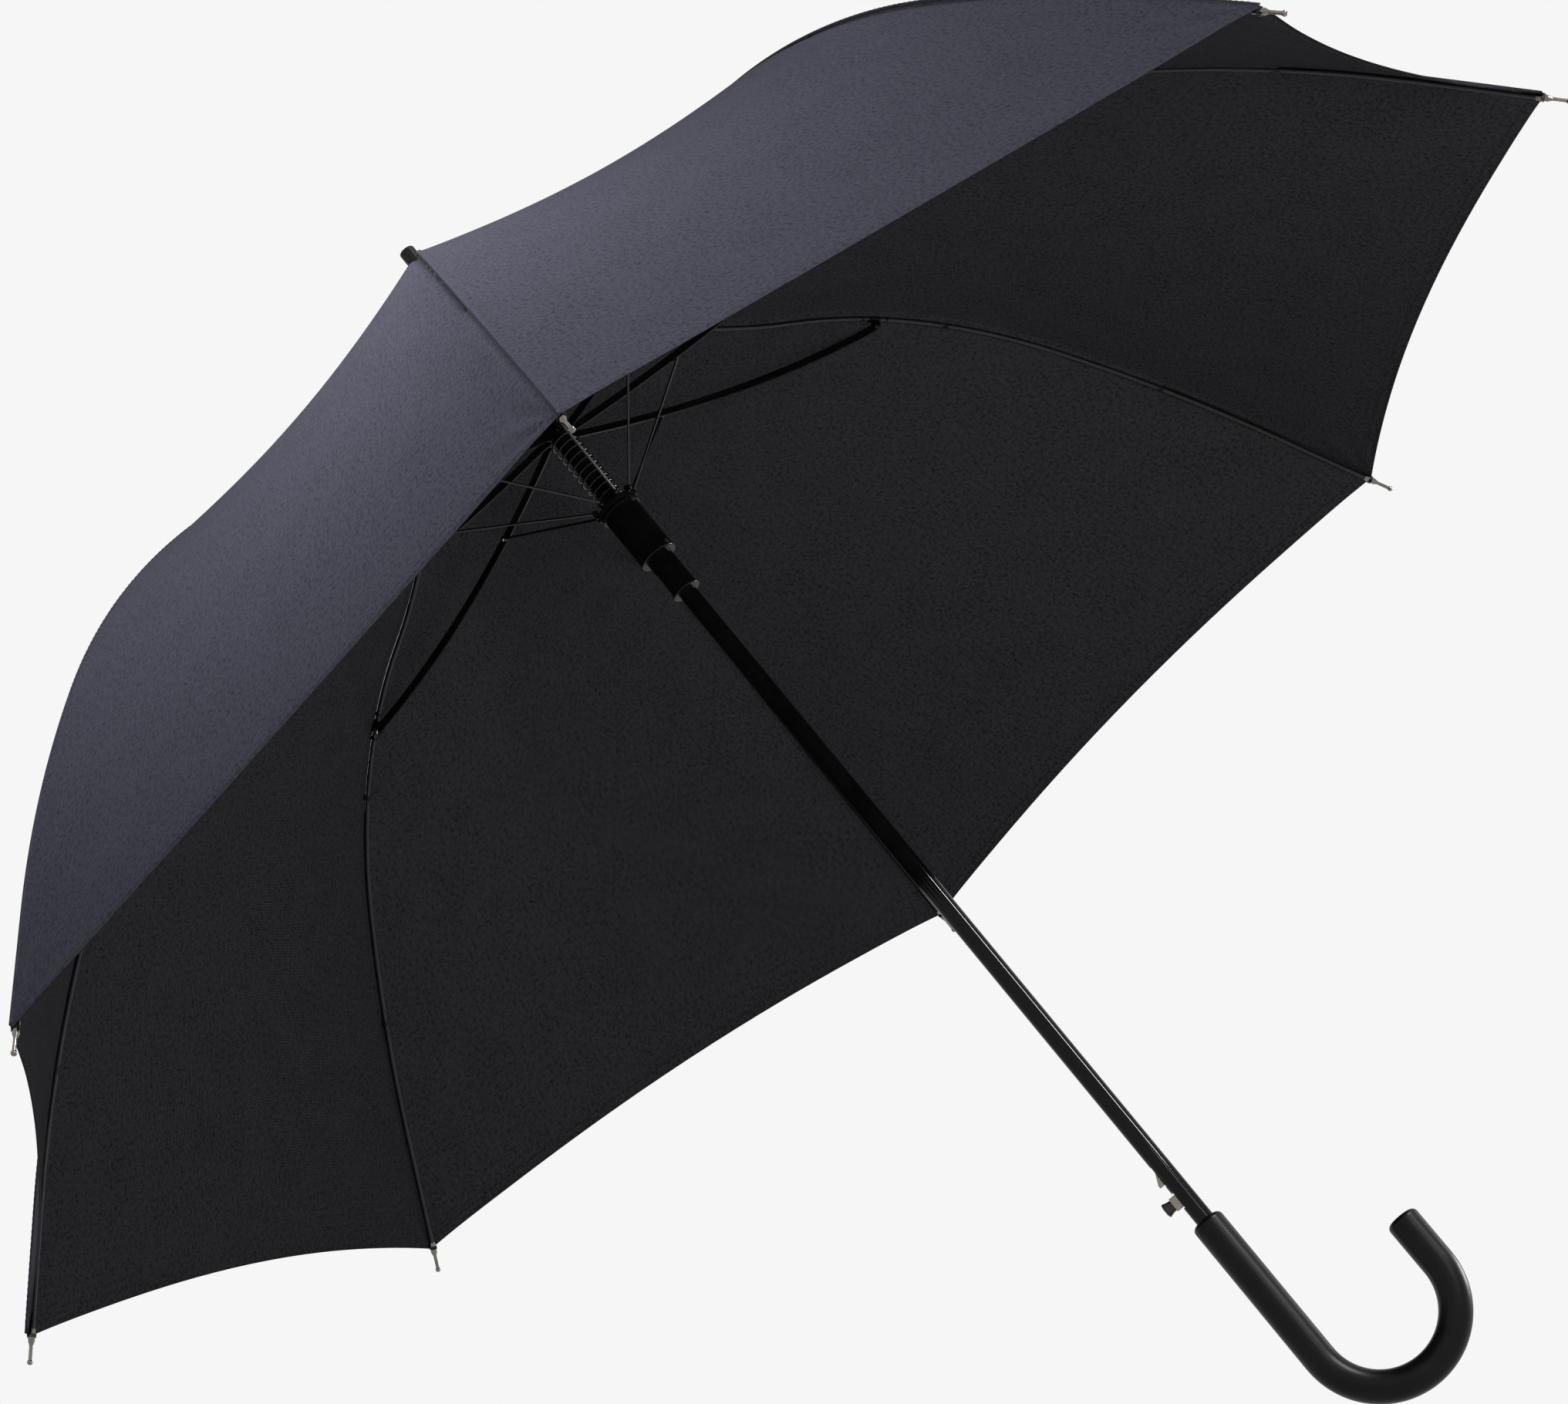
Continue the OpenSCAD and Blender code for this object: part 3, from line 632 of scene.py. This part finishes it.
def fold(piece, rib, hand):
    """Gives a half panel its own mesh; the directions along, across and away from its rib are worked out but
    not used. hand is its side of the rib.
    """
    azimuth = rib_turn(rib)
    out = turned((1, 0, 0), azimuth)
    sideways = turned((0, hand, 0), azimuth)
    fall = (P_END - P_CROWN).normalized()
    along = out * fall.x + Vector((0, 0, fall.y))
    across = -math.sin(HALF_STEP) * out + math.cos(HALF_STEP) * sideways
    across = (across - along * across.dot(along)).normalized()
    away = out * -fall.y + Vector((0, 0, fall.x))
    away = (away - across * away.dot(across)).normalized()
    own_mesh(piece)


def bend_at_crown(piece, rib):
    """Bakes a cloth piece's place into its mesh; its ends on the ferrule and on the rib are worked out but not
    used.
    """
    ends = [turned((q.x, 0, q.y), rib_turn(rib)) for q in (NECK, cloth_line(TOP_S)[0])]
    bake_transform(piece)


def flat_area():
    """Flat area of a half panel, summed over strips."""
    steps = 200
    area = 0.0
    for i in range(steps):
        s = CLOTH_END * (i + 0.5) / steps
        area += cloth_line(s)[0].x * math.sin(HALF_STEP) * CLOTH_END / steps
    return area


for k in range(RIB_COUNT):
    for hand in (-1, 1):
        half, rib, lies = half_panel(k, hand, False)
        fold(half, rib, lies)
        top, rib, lies = half_panel(k, hand, True)
        bend_at_crown(top, rib)
        flat_area()


# Seams over the ribs
SEAM_SECTION = ((-0.0003, -0.0009), (-0.0004, 0.0001), (0.0001, 0.00042), (0.0011, 0.00040), (0.0020, 0.0001),
                (0.0020, -0.0005))
SEAM_START = 0.004
SEAM_END = CLOTH_END - 0.002
SEAM_STEPS = 116
SEAM_TOP_STEPS = 6


def seam(k, name, start, end, count, body):
    """A length of the folded seam over rib k, a low lip that falls towards one side; its two left faces are
    black, a painted shadow line.
    """
    verts = []
    faces = []
    for i in range(count + 1):
        s = start + (end - start) * i / count
        p, out = cloth_line(s)
        for y, h in SEAM_SECTION:
            q = p + (CLOTH_T + h) * out
            narrow = min(1.0, 0.25 + s / 0.06)
            verts.append(turned((q.x, y * narrow, q.y), rib_turn(k)))
    n = len(SEAM_SECTION)
    for i in range(count):
        for j in range(n):
            a = i * n + j
            b = i * n + (j + 1) % n
            faces.append((a, a + n, b + n, b))
    faces.append(tuple(range(n)))
    faces.append(tuple(count * n + j for j in range(n - 1, -1, -1)))
    # The two left faces of the lip take the black thread finish: a painted shadow line beside the seam
    indices = [1 if i < count * n and i % n < 2 else 0 for i in range(len(faces))]
    row = []
    s = TOP_S
    while s < end - 0.006:
        p, out = cloth_line(s)
        q = p + (CLOTH_T + 0.0004) * out
        along = heading(rib_slope(s))
        row.append(stitch(Vector((q.x, SEAM_TOP_STITCH, q.y)), Vector((along.x, 0, along.y)),
                          Vector((out.x, 0, out.y)), STITCH_LENGTH, STITCH_R * 0.7))
        s += STITCH_PITCH
    first = len(verts)
    row_verts, row_faces = join(row)
    verts.extend(turned(v, rib_turn(k)) for v in row_verts)
    faces.extend(tuple(first + i for i in f) for f in row_faces)
    indices.extend([2] * len(row_faces))
    piece = make_piece(f"{name}_{k}", verts, faces, body,
                       [seam_cloth, black_thread_and_seam_shadow, thread_grey], indices, smooth=False)
    layer_uv = piece.data.uv_layers.new(name="cloth")
    for loop in piece.data.loops:
        i = loop.vertex_index
        layer_uv.data[loop.index].uv = (0.005 * (i // n), 0.0008 * (i % n))
    return piece


# Threads that tie the cloth to the ribs and to their tips
THREAD_R = 0.00022
THREAD_GAP = 0.0003
WRAP_STEPS = 12
TIE_TURNS = 4
TIP_TURNS = 3
TIP_R = RIB_R + 0.0004


def thread_ties(k):
    """The two ties of rib k with their loose ends, and the sewing through its tip."""
    parts = []
    for s in TIE_AT:
        p = rib_point(s)
        a = rib_slope(s)
        along = heading(a)
        out = outward(a)
        wrap = []
        for i in range(TIE_TURNS * WRAP_STEPS + 1):
            t = i / WRAP_STEPS
            r = RIB_R + THREAD_GAP
            angle = math.tau * t
            lift = max(0.0, math.cos(angle)) * 0.0012
            q = p + along * (0.0008 * (t - TIE_TURNS / 2)) + (math.cos(angle) * r + lift) * out
            wrap.append((q.x, math.sin(angle) * r, q.y))
        parts.append(tube(wrap, THREAD_R, 6))
        for end in (-1, 1):
            length = draws.uniform(0.006, 0.011)
            curl = draws.uniform(0.2, 0.9)
            tail = []
            for i in range(9):
                t = i / 8
                q = p + along * (end * (0.0012 + 0.55 * length * t))
                q = q - out * (RIB_R + 0.0002 + 0.6 * length * t * t)
                tail.append((q.x, end * 0.0006 + curl * end * 0.003 * math.sin(2.2 * t), q.y))
            parts.append(tube(tail, THREAD_R * 0.8, 5, 0.4))
    along = heading(SLOPE_TIP)
    out = outward(SLOPE_TIP)
    wrap = []
    for i in range(TIP_TURNS * WRAP_STEPS + 1):
        t = i / WRAP_STEPS
        angle = math.tau * t
        r = TIP_R + THREAD_GAP
        q = P_END - along * (0.0035 - 0.0007 * t) + math.cos(angle) * (r + 0.0002) * out
        wrap.append((q.x, math.sin(angle) * r, q.y))
    parts.append(tube(wrap, THREAD_R, 6))
    verts, faces = join(parts)
    return make_piece(f"thread_ties_{k}", [turned(v, rib_turn(k)) for v in verts], faces, f"rib_arm_{k}",
                      [black_thread_and_seam_shadow])


# Rivet heads
def dome(radius, height):
    """Profile of a low domed head."""
    steps = 6
    arc = [(radius * math.cos(math.pi / 2 * i / steps), height * math.sin(math.pi / 2 * i / steps))
           for i in range(steps)]
    return [(0.0, -0.0001), (radius, -0.0001), *arc, (0.0, height)]


def rivet(name, at, y, radius, azimuth, body):
    """A bright domed head on the end of a rivet, at a point of the rib plane and a sideways place."""
    shift = Matrix.Translation((at.x, y, at.y))
    place = Matrix.Rotation(azimuth, 4, "Z") @ shift @ Matrix.Rotation(-math.pi / 2, 4, "X")
    verts, faces = lathe(dome(radius, radius * 0.45), place, 20)
    return make_piece(name, verts, faces, body, [rivet_steel])


P_JOINT = rib_point(JOINT_ARC) - JOINT_DROP * outward(rib_slope(JOINT_ARC))
hub_pivot = Vector(joint_at["stretcher_hinge_0"]["pos_m"])
P_HUB = Vector((math.hypot(hub_pivot.x, hub_pivot.y), hub_pivot.z))
STRETCHER_BOW = 0.0076
LINK_SHARE = 0.272
chord = P_JOINT - P_HUB
chord_up = math.atan2(chord.y, chord.x)
bow_r = chord.length ** 2 / (8 * STRETCHER_BOW) + STRETCHER_BOW / 2
bow_half = math.asin(chord.length / (2 * bow_r))
bow_centre = (P_HUB + P_JOINT) / 2 + (bow_r - STRETCHER_BOW) * Vector((-math.sin(chord_up), math.cos(chord_up)))
link_angle = math.radians(270) + chord_up + (2 * LINK_SHARE - 1) * bow_half
P_LINK = bow_centre + bow_r * Vector((math.cos(link_angle), math.sin(link_angle)))
JOINT_HEAD_Y = 0.00435
JOINT_HEAD_R = 0.0018
LINK_HEAD_Y = 0.00591
LINK_HEAD_R = 0.0013
for k in range(RIB_COUNT):
    seam(k, "canopy_seam", TOP_S, SEAM_END, SEAM_STEPS, f"rib_arm_{k}")
    bend_at_crown(seam(k, "canopy_seam_top", SEAM_START, TOP_S, SEAM_TOP_STEPS, None), k)
    thread_ties(k)
    rivet(f"joint_rivet_{k}", P_JOINT, JOINT_HEAD_Y, JOINT_HEAD_R, rib_turn(k), f"stretcher_arm_{k}")
    rivet(f"link_rivet_{k}", P_LINK, LINK_HEAD_Y, LINK_HEAD_R, rib_turn(k), f"link_arm_{k}")


# Opening spring
SPRING_WIRE_R = 0.0007
SPRING_TURNS = 12


def opening_spring():
    """The spring as a smooth wire helix on the hub."""
    low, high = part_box("opening_spring")
    r = high.y - SPRING_WIRE_R
    steps = SPRING_TURNS * 28
    bottom = low.z + SPRING_WIRE_R
    rise = high.z - low.z - 2 * SPRING_WIRE_R
    points = []
    for i in range(steps + 1):
        t = i / steps
        a = math.tau * SPRING_TURNS * t
        points.append((r * math.cos(a), r * math.sin(a), bottom + rise * t))
    verts, faces = tube(points, SPRING_WIRE_R, 10)
    piece = make_piece("opening_spring_wire", verts, faces, "hub", [wire_black])
    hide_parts("opening_spring")
    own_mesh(piece)
    return piece


opening_spring()


# Push button
BUTTON_FOOT = 0.76
BUTTON_SQUARE = 0.55


def button_cap():
    """The flared, hollow-sided cap of the push button."""
    low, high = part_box("button_cap")
    middle = (low + high) / 2
    rings = 14
    around = 40
    verts = []
    faces = []
    for i in range(rings + 1):
        t = i / rings
        flare = BUTTON_FOOT + (1 - BUTTON_FOOT) * min(1.0, t / 0.8) ** 1.8
        crown = math.sqrt(max(0.0, 1 - max(0.0, (t - 0.78) / 0.22) ** 2))
        size = flare * (0.45 + 0.55 * crown)
        for j in range(around):
            a = math.tau * j / around
            c = math.copysign(abs(math.cos(a)) ** BUTTON_SQUARE, math.cos(a))
            d = math.copysign(abs(math.sin(a)) ** BUTTON_SQUARE, math.sin(a))
            y = middle.y + (high.y - low.y) / 2 * size * c
            z = middle.z + (high.z - low.z) / 2 * size * d
            verts.append((high.x + (low.x - high.x) * t, y, z))
    for i in range(rings):
        for j in range(around):
            a = i * around + j
            b = i * around + (j + 1) % around
            faces.append((a, b, b + around, a + around))
    faces.append(tuple(range(around - 1, -1, -1)))
    faces.append(tuple(rings * around + j for j in range(around)))
    piece = make_piece("button_cap_flared", verts, faces, "catch", [button_dark])
    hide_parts("button_cap")
    return piece


button_cap()


# Rounded lips of the runner
def ring_lip(name, z, radius, thick, body):
    """A rounded lip round the shaft at a height."""
    steps = 12
    profile = []
    for i in range(steps):
        a = math.tau * i / steps
        profile.append((radius + thick * math.cos(a), z + thick * math.sin(a)))
    verts, faces = lathe(profile, Matrix.Identity(4), 72)
    return make_piece(name, verts, faces, body, [rim_gloss])


ring_low, ring_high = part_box("runner_ring")
sleeve_low, sleeve_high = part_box("runner_sleeve")
ring_lip("runner_lip_low", ring_low.z + 0.0007, ring_high.x - 0.0001, 0.0006, "runner")
ring_lip("runner_lip_sleeve", sleeve_low.z + 0.0006, sleeve_high.x, 0.0005, "runner")
FLANGE_R = 0.0123
FLANGE_LIP_T = 0.0004
FLANGE_LIPS = ((0.0005, 0.0), (0.0019, 0.0), (0.0041, 0.0004), (0.0047, 0.0004))
FLANGE_TOP = joint_at["link_hinge_0"]["pos_m"][2] - 0.002
for row, (drop, step) in enumerate(FLANGE_LIPS):
    ring_lip(f"runner_flange_lip_{row}", FLANGE_TOP - drop, FLANGE_R - step - 0.0003, FLANGE_LIP_T, "runner")


# Stage
BACKDROP = 0.922
FLOOR_GLOW = 0.68
FLOOR_Z = -0.62
FLOOR_HALF = 30.0


def seen_level(tree, unseen, seen):
    """A strength that differs between light on surfaces and what the camera, mirrors and glass see."""
    path = tree.nodes.new("ShaderNodeLightPath")
    mirrored = tree.nodes.new("ShaderNodeMath")
    mirrored.operation = "MAXIMUM"
    tree.links.new(path.outputs["Is Glossy Ray"], mirrored.inputs[0])
    tree.links.new(path.outputs["Is Transmission Ray"], mirrored.inputs[1])
    either = tree.nodes.new("ShaderNodeMath")
    either.operation = "MAXIMUM"
    tree.links.new(path.outputs["Is Camera Ray"], either.inputs[0])
    tree.links.new(mirrored.outputs[0], either.inputs[1])
    level = tree.nodes.new("ShaderNodeMapRange")
    level.inputs["To Min"].default_value = unseen
    level.inputs["To Max"].default_value = seen
    tree.links.new(either.outputs[0], level.inputs[0])
    return level.outputs[0]


def world_light(strength):
    """Pale all round for the camera and for reflections, and a soft even light for the rest."""
    world = bpy.data.worlds.new("studio")
    bpy.context.scene.world = world
    world.use_nodes = True
    tree = world.node_tree
    background = tree.nodes["Background"]
    background.inputs["Color"].default_value = (1, 1, 1, 1)
    tree.links.new(seen_level(tree, strength, BACKDROP), background.inputs["Strength"])


def floor():
    """A pale floor below the umbrella, open to a view from underneath."""
    mesh = bpy.data.meshes.new("floor")
    corners = [(x * FLOOR_HALF, y * FLOOR_HALF, FLOOR_Z) for x, y in ((-1, -1), (1, -1), (1, 1), (-1, 1))]
    mesh.from_pydata(corners, [], [(0, 1, 2, 3)])
    mat = bpy.data.materials.new("floor_pale")
    mat.use_nodes = True
    tree = mat.node_tree
    shader = tree.nodes["Principled BSDF"]
    shader.inputs["Base Color"].default_value = (0.5, 0.5, 0.5, 1)
    shader.inputs["Roughness"].default_value = 0.9
    shader.inputs["Emission Color"].default_value = (1, 1, 1, 1)
    tree.links.new(seen_level(tree, 0.0, FLOOR_GLOW), shader.inputs["Emission Strength"])
    clear = tree.nodes.new("ShaderNodeBsdfTransparent")
    back = tree.nodes.new("ShaderNodeNewGeometry")
    mix = tree.nodes.new("ShaderNodeMixShader")
    tree.links.new(back.outputs["Backfacing"], mix.inputs[0])
    tree.links.new(shader.outputs[0], mix.inputs[1])
    tree.links.new(clear.outputs[0], mix.inputs[2])
    tree.links.new(mix.outputs[0], tree.nodes["Material Output"].inputs["Surface"])
    mesh.materials.append(mat)
    obj = bpy.data.objects.new("floor", mesh)
    bpy.context.scene.collection.objects.link(obj)


def aimed(obj, at, target):
    """Puts an object at a place, with its -Z towards a target."""
    obj.location = at
    obj.rotation_euler = (Vector(target) - Vector(at)).to_track_quat("-Z", "Y").to_euler()


def area_light(name, at, target, size, power, diffuse=True):
    """A soft box that the camera doesn't see: it either lights surfaces or only makes highlights."""
    data = bpy.data.lights.new(name, "AREA")
    data.shape = "RECTANGLE"
    data.size, data.size_y = size
    data.energy = power
    obj = bpy.data.objects.new(name, data)
    bpy.context.scene.collection.objects.link(obj)
    aimed(obj, at, target)
    obj.visible_camera = False
    obj.visible_diffuse = diffuse
    obj.visible_glossy = not diffuse


def lamp(name, at, radius, power):
    """A soft round lamp that shows in no reflection."""
    data = bpy.data.lights.new(name, "POINT")
    data.shadow_soft_size = radius
    data.energy = power
    obj = bpy.data.objects.new(name, data)
    bpy.context.scene.collection.objects.link(obj)
    obj.location = at
    obj.visible_camera = False
    obj.visible_glossy = False


# Camera at the photograph's angle, rolled as the photograph is
PHOTO_SIZE = (2033, 1820)
FOCAL_PX = 6067.0
SENSOR = 36.0
CAMERA_AT = Vector((-0.02697, -2.34825, -0.41085))
CAMERA_LOOK = Vector((0.01185, 0.95075, 0.30972)).normalized()
CAMERA_RIGHT = Vector((0.77356, 0.18756, -0.60533))


def camera():
    """The camera of the photograph, fitted to the rib tips and outlines."""
    data = bpy.data.cameras.new("camera")
    data.sensor_width = SENSOR
    data.lens = SENSOR * FOCAL_PX / PHOTO_SIZE[0]
    obj = bpy.data.objects.new("camera", data)
    bpy.context.scene.collection.objects.link(obj)
    right = (CAMERA_RIGHT - CAMERA_LOOK * CAMERA_RIGHT.dot(CAMERA_LOOK)).normalized()
    up = right.cross(CAMERA_LOOK)
    turn = Matrix((right, up, -CAMERA_LOOK)).transposed()
    obj.matrix_world = Matrix.Translation(CAMERA_AT) @ turn.to_4x4()
    bpy.context.scene.camera = obj


camera()
world_light(0.04)
floor()
lamp("key", (-0.02, -0.5, 0.81), 0.1, 8.8)
for side in (-1, 1):
    area_light(f"back_{side}", (1.75 * side, 1.75, 0.95), (0, 0, 0.45), (1.2, 1.2), 32)
area_light("fill", (0.3, -1.0, -0.04), (0.15, 0.4, 0.42), (0.4, 0.4), 4.6)
area_light("shaft_strip", (2.03, -0.8, 1.0), (0, 0, 1.0), (0.18, 1.1), 75, diffuse=False)
area_light("grip_strip", (1.52, -1.59, 0.12), (0, 0, 0.12), (0.25, 0.7), 7, diffuse=False)
area_light("glint", (1.5, 0.95, -0.25), (0, 0, 0.48), (0.5, 0.5), 24, diffuse=False)
bpy.context.scene.view_settings.view_transform = "Standard"
